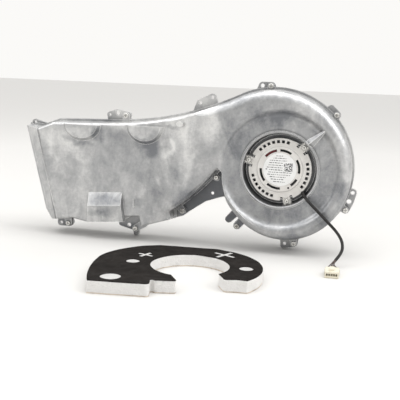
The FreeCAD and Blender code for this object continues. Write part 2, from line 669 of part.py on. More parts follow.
def join_screw(point):
    """Pan-head screw through the front lug into the rear boss."""
    head_face = PARTING - GASKET_THICKNESS / 2.0 - FLANGE_THICKNESS - 1.0
    x, z = point
    head = disc(JOIN_HEAD_RADIUS, head_face, head_face - 2.4, point)
    head = head.makeFillet(0.9, [e for e in head.Edges if e.BoundBox.YMax < head_face - 2.3])
    shank = disc(JOIN_SCREW_RADIUS, head_face, PARTING + 7.0, point)
    slots = [Part.makeBox(4.0, 1.2, 0.9, vec(x - 2.0, head_face - 2.5, z - 0.45)),
             Part.makeBox(0.9, 1.2, 4.0, vec(x - 0.45, head_face - 2.5, z - 2.0))]
    return head.fuse(shank).removeSplitter().cut(slots[0]).cut(slots[1])


# Foam pad

def pad_face():
    """C-shaped outline with a broad left lobe, open at its front right."""
    tip = polar(PAD_OUTER_RADIUS, -30.0)
    shoulder = polar(PAD_OUTER_RADIUS, 79.0)
    ring_start, ring_end = polar(PAD_RING_RADIUS, -104.5), polar(PAD_RING_RADIUS, -33.4)
    edges = [arc_through(tip, polar(PAD_OUTER_RADIUS, 25.0), shoulder),
             line(shoulder, (-57.9, 82.0)),
             arc_through((-57.9, 82.0), (-103.3, 43.4), (-114.8, -7.7)),
             arc_through((-114.8, -7.7), (-109.0, -54.0), (-95.1, -97.5)),
             line((-95.1, -97.5), (-31.8, -91.2)),
             arc_through((-31.8, -91.2), (-28.2, -89.7), (-26.8, -86.4)),
             line((-26.8, -86.4), (-28.5, -77.2)),
             arc_through((-28.5, -77.2), (-28.6, -73.0), (-24.1, -74.5)),
             line((-24.1, -74.5), (-3.9, -70.1)),
             arc_through((-3.9, -70.1), (-1.5, -68.5), (-1.5, -65.6)),
             line((-1.5, -65.6), ring_start),
             arc_through(ring_start, polar(PAD_RING_RADIUS, 148.0), ring_end),
             line(ring_end, (48.2, -42.0)),
             arc_through((48.2, -42.0), (50.2, -45.4), (54.0, -45.9)),
             line((54.0, -45.9), (63.7, -44.0)),
             line((63.7, -44.0), tip)]
    return Part.Face(Part.Wire(edges))


def cross_cut(centre, turn, length, width, near, far):
    """Four-armed cross."""
    arms = []
    for k in range(2):
        bar = Part.makeBox(length, abs(far - near), width, vec(-length / 2.0, min(near, far), -width / 2.0))
        bar.rotate(vec(0, 0, 0), vec(0, 1, 0), -turn + 90.0 * k)
        bar.translate(vec(centre[0], 0, centre[1]))
        arms.append(bar)
    return arms[0].fuse(arms[1])


def laid_down(solid):
    """Turn a solid built in the XZ plane so that it lies on the floor with its face up."""
    solid.rotate(vec(0, 0, 0), vec(1, 0, 0), -90.0)
    solid.translate(vec(PAD_RING_CENTRE[0], PAD_RING_CENTRE[1], FLOOR))
    return solid


def acoustic_pad():
    return laid_down(prism(pad_face(), 0.0, PAD_FILM - PAD_THICKNESS))


def acoustic_pad_film():
    """Film on the pad's top, with round and cross-shaped windows."""
    low, high = PAD_FILM - PAD_THICKNESS, -PAD_THICKNESS
    film = prism(pad_face(), low, high)
    for x, z, turn, length, width in PAD_FILM_CROSSES:
        film = film.cut(cross_cut((x, z), turn, length, width, low + 1, high - 1))
    for x, z, radius in PAD_FILM_HOLES:
        film = film.cut(disc(radius, low + 1, high - 1, (x, z)))
    return laid_down(film)


# Motor, fixed side

def slot_between(radius, width, first, last, near, far):
    """Curved slot from one angle to another."""
    outer, inner = radius + width / 2.0, radius - width / 2.0
    edges = [arc_through(polar(outer, first), polar(outer, (first + last) / 2.0), polar(outer, last)),
             line(polar(outer, last), polar(inner, last)),
             arc_through(polar(inner, last), polar(inner, (first + last) / 2.0), polar(inner, first)),
             line(polar(inner, first), polar(outer, first))]
    return prism(Part.Face(Part.Wire(edges)), near, far)


def radial_box(radius, angle, length, width, near, far):
    """Box centred at a radius and turned to an angle about the spin axis."""
    corner = vec(radius - length / 2.0, min(near, far), -width / 2.0)
    box = Part.makeBox(length, abs(far - near), width, corner)
    box.rotate(vec(0, 0, 0), vec(0, 1, 0), -angle)
    return box


def motor_cover():
    plate = disc(COVER_RADIUS, COVER_BACK, COVER_FACE)
    step_face = COVER_FACE - COVER_STEP
    raised = revolve([(0.0, COVER_FACE), (31.5, COVER_FACE), (30.2, step_face), (0.0, step_face)])
    tabs = [radial_box(TAB_END_RADIUS - 5.5, a, 11.0, 10.5, COVER_BACK, COVER_FACE) for a in LUG_ANGLES]
    tabs = [t.makeFillet(3.0, [e for e in t.Edges if is_outer_corner(e)]) for t in tabs]
    cover = fuse_all([plate, raised] + tabs)
    near, far = COVER_BACK + 1, COVER_FACE - 2
    vents = [136.7 - 10.15 * k for k in range(7)] + [14.3 - 9.95 * k for k in range(6)]
    vents += [195.9 + 9.95 * k for k in range(7)]
    cuts = [radial_box(VENT_RING_RADIUS, angle, VENT_SIZE[0], VENT_SIZE[1], near, far) for angle in vents]
    for first, last in COVER_SLOTS:
        cuts.append(slot_between(SLOT_RING_RADIUS, SLOT_WIDTH, first, last, near, far))
    cuts.append(disc(1.4, near, far, polar(27.5, -62.8)))
    for angle in LUG_ANGLES:
        cuts += [radial_box(41.2, angle + side, 6.4, 3.6, near, far) for side in (-9.6, 9.6)]
        cuts.append(disc(2.2, near, far, polar(LUG_RADIUS, angle)))
    cuts.append(disc(3.3, near, far, (CABLE_ROUTE[0][0], CABLE_ROUTE[0][2])))
    return cover.cut(Part.makeCompound(cuts))


def is_outer_corner(edge):
    """Edge along Y at the far end of a tab."""
    box = edge.BoundBox
    centre = edge.CenterOfMass
    return box.YLength > 0.5 and math.hypot(centre.x, centre.z) > TAB_END_RADIUS - 1.0


def motor_label():
    return disc(LABEL_RADIUS, COVER_FACE - COVER_STEP, COVER_FACE - COVER_STEP - LABEL_THICKNESS)


def motor_case():
    case = disc(CASE_RADIUS, COVER_BACK, CASE_FLOOR + CASE_WALL)
    case = case.cut(disc(CASE_RADIUS - CASE_WALL, COVER_BACK - 1, CASE_FLOOR))
    case = case.cut(disc(9.0, CASE_FLOOR - 1, CASE_FLOOR + 3))
    for point in lug_points():
        case = case.cut(disc(6.9, COVER_BACK - 1, CASE_FLOOR + 3, point))
    return case


def mount_grommet(point):
    """Rubber bush in the lug boss, with a collar under the cover's tab."""
    collar_end, far_end = COVER_BACK + GROMMET_COLLAR, COVER_BACK + 5.4
    bush = disc(4.9, COVER_BACK, collar_end, point).fuse(disc(4.2, collar_end, far_end, point))
    return bush.removeSplitter().cut(disc(2.2, COVER_BACK - 1, far_end + 1, point))


def mount_sleeve(point):
    return ring(2.2, 1.55, COVER_FACE, COVER_BACK + 5.4, point)


def mount_washer(point, angle):
    """Four-lobed spring washer under the screw head."""
    plate = disc(3.9, COVER_FACE, COVER_FACE - 0.6, point)
    pieces = [plate]
    for k in range(4):
        lobe_x, lobe_z = turned(point[0], point[1], angle + 45.0 + 90.0 * k, 4.75)
        pieces.append(disc(1.35, COVER_FACE, COVER_FACE - 1.1, (lobe_x, lobe_z)))
    return fuse_all(pieces).cut(disc(1.55, COVER_FACE + 1, COVER_FACE - 2, point))


def mount_screw(point):
    head_face = COVER_FACE - 0.6
    head = disc(3.0, head_face, head_face - 2.4, point)
    head = head.makeFillet(0.9, [e for e in head.Edges if e.BoundBox.YMax < head_face - 2.3])
    shank = disc(1.5, head_face, WELL_FLOOR + 0.6, point)
    socket = disc(1.2, head_face - 1.2, head_face - 3.0, point)
    return head.fuse(shank).removeSplitter().cut(socket)


def bearing_tube():
    tube_wall = ring(9.0, BEARING_RADIUS, -58.0, -26.0)
    return tube_wall.fuse(ring(BEARING_RADIUS, 4.0, -49.0, -36.0)).removeSplitter()


def bearing_places():
    return [(-54.0, -54.0 + BEARING_WIDTH), (-31.0, -31.0 + BEARING_WIDTH)]


def stator_core():
    near, far = -43.0, -30.0
    core = [ring(13.0, 9.0, near, far)]
    pitch = 360.0 / TOOTH_COUNT
    for k in range(TOOTH_COUNT):
        core.append(radial_box(20.5, pitch * k, 16.0, 3.0, near, far))
        core.append(slot_between(27.4, 2.2, pitch * k - 12.5, pitch * k + 12.5, near, far))
    return fuse_all(core)


def stator_insulator():
    return [ring(14.2, 9.0, -44.5, -43.0), ring(14.2, 9.0, -30.0, -28.5)]


def stator_winding(angle):
    coil = radial_box(20.4, angle, 10.6, 6.2, -45.6, -27.4)
    return coil.cut(radial_box(20.5, angle, 16.0, 3.0, -43.0, -30.0))


def circuit_board():
    board = ring(34.0, 9.5, -58.5, -57.0)
    return board.cut(disc(7.6, -60, -55, polar(40.0, -42.7)))


def board_components():
    parts = [disc(4.0, -57.0, -52.4, polar(24.0, angle)) for angle in (20.0, 48.0, 76.0)]
    parts += [radial_box(20.0, angle, 7.0, 5.0, -58.5, -60.2) for angle in (100.0, 140.0, 180.0)]
    parts += [radial_box(27.0, angle, 4.0, 6.0, -58.5, -60.6) for angle in (215.0, 240.0, 265.0, 290.0)]
    parts.append(radial_box(28.0, -42.7, 6.0, 10.0, -58.5, -61.8))
    return parts


# Rotor and wheel

def rotor_cup():
    cup = disc(ROTOR_RADIUS, -47.2, -22.5).cut(disc(ROTOR_RADIUS - 1.5, -48.0, -24.0))
    return cup.cut(disc(SHAFT_RADIUS, -25.0, -22.0))


def rotor_magnets():
    magnets = ring(ROTOR_RADIUS - 1.5, ROTOR_RADIUS - 3.6, -45.5, -27.5)
    gaps = [radial_box(30.4, 45.0 * k, 6.0, 0.5, -46.0, -27.0) for k in range(8)]
    return magnets.cut(Part.makeCompound(gaps))


def motor_shaft():
    shaft = disc(SHAFT_RADIUS, -56.0, -17.9)
    ends = [e for e in shaft.Edges if e.BoundBox.YLength < 0.1]
    return shaft.makeChamfer(0.4, ends)


def wheel_backplate():
    thick = 1.2
    profile = [(SHAFT_RADIUS, -22.5), (33.3, -22.5), (33.3, -46.2), (49.4, -46.2), (55.5, WHEEL_FRONT),
               (WHEEL_RADIUS, WHEEL_FRONT), (WHEEL_RADIUS, WHEEL_FRONT + thick), (56.4, WHEEL_FRONT + thick),
               (50.3, -46.2 + thick), (33.3 + thick, -46.2 + thick), (33.3 + thick, -22.5 + thick),
               (SHAFT_RADIUS, -22.5 + thick)]
    plate = revolve(profile)
    holes = [disc(3.5, -50.0, -40.0, polar(42.0, 60.0 * k)) for k in range(6)]
    return plate.cut(Part.makeCompound(holes))


def wheel_blades():
    """Forward-curved blades, all alike, between the backplate and the shroud."""
    inner, outer, half = BLADE_INNER_RADIUS, WHEEL_RADIUS - 0.4, 0.45
    near, far = WHEEL_FRONT + 1.2, WHEEL_REAR - 1.2
    spread = [(inner, 0.0), (65.5, 4.2), (outer, 11.5)]
    shift = [math.degrees(half / r) for r, a in spread]
    low = [polar(r, a - s) for (r, a), s in zip(spread, shift)]
    high = [polar(r, a + s) for (r, a), s in zip(spread, shift)]
    edges = [arc_through(*low), line(low[2], high[2]), arc_through(*high), line(low[0], high[0])]
    blade = prism(Part.Face(Part.Wire(Part.__sortEdges__(edges))), near, far)
    blades = []
    for k in range(BLADE_COUNT):
        copy = blade.copy()
        copy.rotate(vec(0, 0, 0), vec(0, 1, 0), 360.0 / BLADE_COUNT * k)
        blades.append(copy)
    return blades


def wheel_shroud():
    profile = [(57.0, WHEEL_REAR), (WHEEL_RADIUS, WHEEL_REAR), (WHEEL_RADIUS, WHEEL_REAR - 3.0),
               (WHEEL_RADIUS - 0.4, WHEEL_REAR - 3.0), (WHEEL_RADIUS - 0.4, WHEEL_REAR - 1.2),
               (57.0, WHEEL_REAR - 1.2)]
    return revolve(profile)


def hub_nut():
    nut = prism(polygon_face([polar(4.6, 60.0 * k) for k in range(6)]), -21.3, -18.3)
    return nut.cut(disc(SHAFT_RADIUS, -22, -17))


def bearing_outer_rings():
    return [ring(BEARING_RADIUS, 5.4, near, far) for near, far in bearing_places()]


def bearing_inner_rings():
    return [ring(3.6, SHAFT_RADIUS, near, far) for near, far in bearing_places()]


def bearing_balls():
    balls = []
    for near, far in bearing_places():
        for k in range(7):
            x, z = polar(4.5, 360.0 / 7 * k)
            balls.append(Part.makeSphere(0.8, vec(x, (near + far) / 2.0, z)))
    return balls


# Motor lead

def rounded_wire(points, label=None):
    """Straight runs joined by tangent arcs, each as large as its two runs allow."""
    pts = [vec(*point) for point in points]
    edges = []
    start = pts[0]
    radii = []
    for before, here, after in zip(pts, pts[1:], pts[2:]):
        into, out = here - before, after - here
        half = into.getAngle(out) / 2.0
        trim = 0.45 * min(into.Length, out.Length)
        radius = trim / math.tan(half)
        radii.append(round(radius, 1))
        into.normalize()
        out.normalize()
        first, last = here - into * trim, here + out * trim
        bisector = (out - into).normalize()
        centre = here + bisector * (radius / math.cos(half))
        middle = centre - bisector * radius
        edges.append(Part.LineSegment(start, first).toShape())
        edges.append(Part.Arc(first, middle, last).toShape())
        start = last
    edges.append(Part.LineSegment(start, pts[-1]).toShape())
    if label:
        print(label, "bend radii", radii)
    return Part.Wire(edges)


def tube(points, radius, label=None):
    wire = rounded_wire(points, label)
    along = vec(*points[1]) - vec(*points[0])
    circle = Part.Wire([Part.Circle(vec(*points[0]), along, radius).toShape()])
    solid = wire.makePipeShell([circle], True, False)
    if label:
        ideal = math.pi * radius ** 2 * wire.Length
        print(label, "length", round(wire.Length, 1), "volume ratio", round(solid.Volume / ideal, 4))
    return solid


def cable_grommet():
    """Rubber collar where the lead leaves the motor, with a tongue that reaches the motor case."""
    x, z = CABLE_ROUTE[0][0], CABLE_ROUTE[0][2]
    angle = math.degrees(math.atan2(z, x))
    collar = disc(2.7, COVER_FACE - 0.5, COVER_FACE + 4.0, (x, z))
    reach = 3.0
    tongue = radial_box(CASE_RADIUS + reach / 2.0, angle, reach, 4.0, COVER_BACK, COVER_FACE + 4.0)
    grommet = collar.fuse(tongue).removeSplitter()
    return grommet.cut(tube(CABLE_ROUTE, CABLE_RADIUS))


def lead_side(k):
    """How many places a wire's slot in the connector is from the middle one."""
    return k - (LEAD_COUNT - 1) / 2.0


def lead_route(k):
    """One of the wires from the end of the sleeve to its place in the connector."""
    end, before = vec(*CABLE_ROUTE[-1]), vec(*CABLE_ROUTE[-2])
    along = (end - before).normalize()
    right = along.cross(vec(0, 0, 1)).normalize() * -1.0
    up = along.cross(right).normalize()
    angle = math.radians(LEAD_RING_ANGLES[k])
    start = end + (right * math.cos(angle) + up * math.sin(angle)) * LEAD_RING_RADIUS + along * 0.05
    bend = start + along * 7.0
    plug_x = CONNECTOR_CENTRE_X + CONNECTOR_PITCH * lead_side(k)
    return [start, bend, vec(plug_x + 0.3 * lead_side(k), CONNECTOR_REAR + 11.5, LEAD_HEIGHT - 0.5),
            vec(plug_x, CONNECTOR_REAR, LEAD_HEIGHT)]


def cable_leads():
    return [tube(lead_route(k), LEAD_RADIUS, "lead" if k == 0 else None) for k in range(LEAD_COUNT)]


def connector_housing():
    """Flat five-way plug with a latch on top and a row of wire entries."""
    width, length, height = CONNECTOR_SIZE
    x0 = CONNECTOR_CENTRE_X - width / 2.0
    front = CONNECTOR_REAR - length
    body = Part.makeBox(width, length, height, vec(x0, front, FLOOR))
    body = body.makeFillet(0.7, body.Edges)
    shoulder = Part.makeBox(width + 1.6, 4.0, height - 2.4, vec(x0 - 0.8, CONNECTOR_REAR - 9.0, FLOOR + 1.2))
    latch = Part.makeBox(5.0, 15.0, 1.4, vec(CONNECTOR_CENTRE_X - 2.5, front + 2.0, FLOOR + height + 1.0))
    hinge = Part.makeBox(5.0, 3.0, 2.4, vec(CONNECTOR_CENTRE_X - 2.5, front + 2.0, FLOOR + height - 1.0))
    body = fuse_all([body, shoulder, latch, hinge])
    for k in range(LEAD_COUNT):
        x = CONNECTOR_CENTRE_X + CONNECTOR_PITCH * lead_side(k)
        body = body.cut(Part.makeBox(2.1, 17.0, 3.0, vec(x - 1.05, front - 1.0, FLOOR + 2.7)))
    return body


def connector_contact(k):
    x = CONNECTOR_CENTRE_X + CONNECTOR_PITCH * lead_side(k)
    blade = Part.makeBox(1.5, 13.0, 1.8, vec(x - 0.75, CONNECTOR_REAR - 20.0, FLOOR + 3.3))
    return blade.cut(Part.makeBox(0.9, 8.0, 1.2, vec(x - 0.45, CONNECTOR_REAR - 21.0, FLOOR + 3.6)))


def build():
    os.makedirs("parts", exist_ok=True)
    shell = front_shell()
    save("front_shell", two_halves(shell))
    save("front_screw_lugs", front_lugs(shell))
    tray, ears = rear_casting()
    save("rear_shell", two_halves(tray))
    save("rear_ears", ears)
    save("housing_gasket", housing_gasket())
    save("housing_screws", [join_screw(p) for p in JOIN_SCREWS])
    save("acoustic_pad", acoustic_pad())
    save("acoustic_pad_film", acoustic_pad_film())
    save("motor_cover", motor_cover())
    save("motor_label", motor_label())
    save("motor_case", motor_case())
    save("mount_grommets", [mount_grommet(p) for p in lug_points()])
    save("mount_sleeves", [mount_sleeve(p) for p in lug_points()])
    save("mount_washers", [mount_washer(p, a) for p, a in zip(lug_points(), LUG_ANGLES)])
    save("mount_screws", [mount_screw(p) for p in lug_points()])
    save("bearing_tube", bearing_tube())
    save("bearing_outer_rings", bearing_outer_rings())
    save("stator_core", stator_core())
    save("stator_insulator", stator_insulator())
    save("stator_windings", [stator_winding(360.0 / TOOTH_COUNT * k) for k in range(TOOTH_COUNT)])
    save("circuit_board", circuit_board())
    save("board_components", board_components())
    save("cable_grommet", cable_grommet())
    save("motor_cable", tube(CABLE_ROUTE, CABLE_RADIUS, "motor cable"))
    save("cable_leads", cable_leads())
    save("connector_housing", connector_housing())
    save("connector_contacts", [connector_contact(k) for k in range(LEAD_COUNT)])
    save("rotor_cup", rotor_cup())
    save("rotor_magnets", rotor_magnets())
    save("motor_shaft", motor_shaft())
    save("bearing_inner_rings", bearing_inner_rings())
    save("bearing_balls", bearing_balls())
    save("wheel_backplate", wheel_backplate())
    save("wheel_blades", wheel_blades())
    save("wheel_shroud", wheel_shroud())
    save("hub_nut", hub_nut())


build()
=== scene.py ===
import json
import math
import random

import bmesh
import bpy
from mathutils import Matrix, Vector, noise

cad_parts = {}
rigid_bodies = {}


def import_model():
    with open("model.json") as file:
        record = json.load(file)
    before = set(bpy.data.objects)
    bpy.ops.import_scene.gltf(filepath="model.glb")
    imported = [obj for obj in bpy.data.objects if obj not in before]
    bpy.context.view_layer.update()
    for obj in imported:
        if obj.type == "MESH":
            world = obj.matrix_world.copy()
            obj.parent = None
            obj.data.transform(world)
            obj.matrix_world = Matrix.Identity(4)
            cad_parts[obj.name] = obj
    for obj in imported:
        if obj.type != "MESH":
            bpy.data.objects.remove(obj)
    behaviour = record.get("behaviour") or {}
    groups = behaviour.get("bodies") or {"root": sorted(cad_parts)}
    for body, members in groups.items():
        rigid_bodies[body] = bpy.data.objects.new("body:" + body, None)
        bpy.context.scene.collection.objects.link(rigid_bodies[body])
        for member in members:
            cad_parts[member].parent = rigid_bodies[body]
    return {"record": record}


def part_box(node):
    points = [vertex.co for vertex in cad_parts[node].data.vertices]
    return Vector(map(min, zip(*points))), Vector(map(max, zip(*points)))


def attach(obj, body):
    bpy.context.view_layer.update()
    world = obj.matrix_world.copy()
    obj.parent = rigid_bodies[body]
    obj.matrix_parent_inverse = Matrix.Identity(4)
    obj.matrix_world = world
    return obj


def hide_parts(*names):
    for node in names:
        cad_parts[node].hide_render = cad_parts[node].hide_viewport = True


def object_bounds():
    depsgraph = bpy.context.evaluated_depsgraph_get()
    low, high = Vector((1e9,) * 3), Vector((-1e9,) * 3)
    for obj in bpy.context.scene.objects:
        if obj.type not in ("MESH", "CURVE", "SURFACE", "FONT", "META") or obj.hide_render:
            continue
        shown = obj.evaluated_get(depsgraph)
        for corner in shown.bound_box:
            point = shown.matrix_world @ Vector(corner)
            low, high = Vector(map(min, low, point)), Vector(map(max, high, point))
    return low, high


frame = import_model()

# Looks of a centrifugal duct blower. Everything is in metres in the frame of the CAD model: the spin
# axis is Y, the motor side faces -Y and +Z is up.

cad_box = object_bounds()
FLOOR = cad_box[0][2]

# Motor lead: the same route as the CAD tube
SLEEVE_DIAMETER = 0.004
SLEEVE_ROUTE = [(0.0331, -0.0645, -0.0305), (0.0352, -0.0755, -0.0324), (0.0425, -0.0840, -0.0386),
                (0.0560, -0.0864, -0.0504), (0.0693, -0.0866, -0.0632), (0.0810, -0.0890, -0.0738),
                (0.0888, -0.0935, -0.0838), (0.0910, -0.0990, -0.0934), (0.0880, -0.1055, -0.1012),
                (0.0826, -0.1125, -0.1070)]
LEAD_DIAMETER = 0.0013
LEAD_RING_RADIUS = 0.0012
LEAD_RING_ANGLES = [162.0, 234.0, 90.0, 306.0, 18.0]
CONNECTOR_CENTRE_X = 0.080
CONNECTOR_REAR = -0.141
CONNECTOR_PITCH = 0.0029
LEAD_HEIGHT = FLOOR + 0.0042


# Node helpers

def add(tree, kind, inputs=None, **settings):
    """New shader node; an input is a number or a socket to link from."""
    made = tree.nodes.new(kind)
    for key, value in settings.items():
        setattr(made, key, value)
    for key, value in (inputs or {}).items():
        if isinstance(value, bpy.types.NodeSocket):
            tree.links.new(value, made.inputs[key])
        else:
            made.inputs[key].default_value = value
    return made


def object_coords(tree, stretch=(1.0, 1.0, 1.0)):
    coords = add(tree, "ShaderNodeTexCoord").outputs["Object"]
    if stretch == (1.0, 1.0, 1.0):
        return coords
    return add(tree, "ShaderNodeMapping", {"Vector": coords, "Scale": stretch}).outputs["Vector"]


def cloud(tree, coords, scale, detail=4.0, roughness=0.55, distortion=0.0):
    return add(tree, "ShaderNodeTexNoise", {"Vector": coords, "Scale": scale, "Detail": detail,
                                            "Roughness": roughness, "Distortion": distortion}).outputs["Fac"]


def math_node(tree, operation, a, b):
    return add(tree, "ShaderNodeMath", {0: a, 1: b}, operation=operation).outputs[0]


def vector_math(tree, operation, a, b=(0.0, 0.0, 0.0)):
    outputs = add(tree, "ShaderNodeVectorMath", {0: a, 1: b}, operation=operation).outputs
    return outputs["Value" if operation in ("LENGTH", "DOT_PRODUCT") else "Vector"]


def away_from(tree, value, centre):
    """How far a value is from a fixed one, on either side."""
    return math_node(tree, "ABSOLUTE", math_node(tree, "SUBTRACT", value, centre), 0.0)


def remap(tree, value, low, high, to_low=0.0, to_high=1.0):
    return add(tree, "ShaderNodeMapRange", {"Value": value, "From Min": low, "From Max": high,
                                            "To Min": to_low, "To Max": to_high}).outputs["Result"]


def ramp(tree, value, stops):
    made = add(tree, "ShaderNodeValToRGB", {"Fac": value})
    elements = made.color_ramp.elements
    while len(elements) < len(stops):
        elements.new(0.5)
    for element, (place, colour) in zip(elements, stops):
        element.position = place
        element.color = (*colour, 1.0)
    return made.outputs["Color"]


def mix(tree, share, first, second, blend="MIX"):
    made = add(tree, "ShaderNodeMix", {0: share}, data_type="RGBA", blend_type=blend)
    for index, value in ((6, first), (7, second)):
        if isinstance(value, bpy.types.NodeSocket):
            tree.links.new(value, made.inputs[index])
        else:
            made.inputs[index].default_value = (*value, 1.0)
    return made.outputs[2]


def bump(tree, height, distance, strength=1.0, normal=None):
    inputs = {"Height": height, "Distance": distance, "Strength": strength}
    if normal is not None:
        inputs["Normal"] = normal
    return add(tree, "ShaderNodeBump", inputs).outputs["Normal"]


def material(name, metallic=0.0, roughness=0.5, specular=0.5):
    made = bpy.data.materials.new(name)
    made.use_nodes = True
    tree = made.node_tree
    tree.nodes.clear()
    out = tree.nodes.new("ShaderNodeOutputMaterial")
    shader = tree.nodes.new("ShaderNodeBsdfPrincipled")
    tree.links.new(shader.outputs["BSDF"], out.inputs["Surface"])
    shader.inputs["Metallic"].default_value = metallic
    shader.inputs["Roughness"].default_value = roughness
    shader.inputs["Specular IOR Level"].default_value = specular
    return made, tree, shader


def connect(tree, shader, **sockets):
    names = {"colour": "Base Color", "roughness": "Roughness", "normal": "Normal"}
    for key, value in sockets.items():
        tree.links.new(value, shader.inputs[names[key]])


def sharp_edges(tree, radius):
    """1 where the surface turns a sharp corner, 0 on flats."""
    soft = add(tree, "ShaderNodeBevel", {"Radius": radius}, samples=4).outputs["Normal"]
    flat = add(tree, "ShaderNodeNewGeometry").outputs["Normal"]
    return remap(tree, vector_math(tree, "DOT_PRODUCT", soft, flat), 0.995, 0.93)


def occlusion_shade(tree, reach):
    """Painted-shade mask: 0 deep in corners and recesses, 1 in the open."""
    return add(tree, "ShaderNodeAmbientOcclusion", {"Distance": reach}, samples=4).outputs["AO"]


def stain_and_painted_light_field(tree, coords, stains_and_painted_light):
    """Sum of soft ragged blotches (staining, painted shade, painted highlights), each a centre (x, z), two
    radii and a strength.
    """
    rough = add(tree, "ShaderNodeTexNoise", {"Vector": coords, "Scale": 38.0, "Detail": 4.0}).outputs["Color"]
    shift = vector_math(tree, "SUBTRACT", rough, (0.5, 0.5, 0.5))
    shift = vector_math(tree, "MULTIPLY", shift, (BLOTCH_RAGGEDNESS,) * 3)
    ragged = vector_math(tree, "ADD", coords, shift)
    total = 0.0
    for x, z, half_width, half_height, strength in stains_and_painted_light:
        local = vector_math(tree, "SUBTRACT", ragged, (x, 0.0, z))
        local = vector_math(tree, "MULTIPLY", local, (1.0 / half_width, 0.0, 1.0 / half_height))
        away = vector_math(tree, "LENGTH", local)
        fade = add(tree, "ShaderNodeMapRange",
                   {"Value": away, "From Min": 1.35, "From Max": 0.25, "To Min": 0.0, "To Max": strength},
                   interpolation_type="SMOOTHSTEP")
        total = math_node(tree, "ADD", fade.outputs["Result"], total)
    return total


def from_axis(tree, coords):
    """Distance from the spin axis."""
    return vector_math(tree, "LENGTH", vector_math(tree, "MULTIPLY", coords, (1.0, 0.0, 1.0)))


# Materials

# Stains and rubbed places on the casing's face, with painted shade and painted highlights among them: centre
# x, z, half width, half height, strength
CASING_STAINS_SHADE_AND_HIGHLIGHTS = [(-0.234, 0.033, 0.017, 0.014, -0.5), (-0.181, 0.020, 0.020, 0.011, -0.75),
                 (-0.256, 0.040, 0.007, 0.011, -0.5), (-0.296, 0.023, 0.015, 0.006, -0.4),
                 (-0.168, -0.042, 0.012, 0.017, -0.5), (-0.197, -0.059, 0.009, 0.011, -0.35),
                 (-0.148, 0.053, 0.011, 0.004, -0.7), (-0.127, 0.005, 0.011, 0.039, 0.6),
                 (-0.329, -0.054, 0.028, 0.022, 0.4), (-0.278, 0.037, 0.013, 0.007, 0.4),
                 (-0.190, 0.038, 0.013, 0.007, 0.4), (-0.096, 0.052, 0.014, 0.024, 0.5),
                 (-0.068, 0.037, 0.014, 0.033, -0.45), (0.000, 0.072, 0.036, 0.010, -1.0),
                 (-0.151, 0.021, 0.004, 0.019, 0.6), (-0.225, -0.020, 0.040, 0.030, -0.15),
                 (-0.110, 0.088, 0.022, 0.010, 1.0), (-0.239, 0.062, 0.018, 0.008, 0.9),
                 (-0.112, -0.058, 0.034, 0.020, -1.2), (-0.064, -0.083, 0.018, 0.016, -2.2),
                 (-0.218, -0.104, 0.020, 0.012, -1.2), (-0.319, -0.106, 0.014, 0.008, -0.8),
                 (-0.312, 0.030, 0.040, 0.035, 0.55), (-0.185, 0.060, 0.070, 0.022, 0.7),
                 (-0.125, 0.045, 0.035, 0.040, 0.45), (-0.245, -0.076, 0.021, 0.010, -0.9),
                 (-0.306, -0.012, 0.018, 0.017, 0.6), (-0.218, 0.026, 0.012, 0.022, -0.45),
                 (-0.188, 0.024, 0.020, 0.011, -0.3), (-0.213, -0.036, 0.018, 0.014, 0.25),
                 (0.065, -0.070, 0.022, 0.017, -0.9), (0.030, -0.091, 0.022, 0.011, -0.9),
                 (0.085, -0.028, 0.011, 0.020, -0.6),
                 (-0.258, 0.037, 0.006, 0.010, -0.6), (-0.282, 0.020, 0.021, 0.005, -0.7),
                 (-0.188, 0.028, 0.020, 0.006, -0.5), (0.095, 0.003, 0.008, 0.024, 0.7),
                 (0.089, 0.032, 0.008, 0.019, 0.7), (-0.150, 0.018, 0.013, 0.022, 0.35),
                 (-0.245, -0.058, 0.024, 0.009, -0.9)]
# Painted shade in the notch, on the rear casting alone
NOTCH_PAINTED_SHADE = [(-0.108, -0.045, 0.045, 0.038, -2.6)]
# Painted shade line beside the outlet's bead: direction across it, and its distance from the axis that way
OUTLET_NORMAL = (-0.9807, 0.0, -0.1957)
OUTLET_SHADE_LINE = 0.3337
BLOTCH_RAGGEDNESS = 0.035
# Radii on the spin axis: the motor's opening, its lip, its rounding, and the dish's painted shade
OPENING_RADIUS = 0.0505
LIP_RADIUS = 0.0512
ROUNDING_RADIUS = 0.0525
DISH_RADIUS = (0.066, 0.088)
# The castings are two touching solids each; no edge lightening shows where they touch
SEAM_X = -0.125


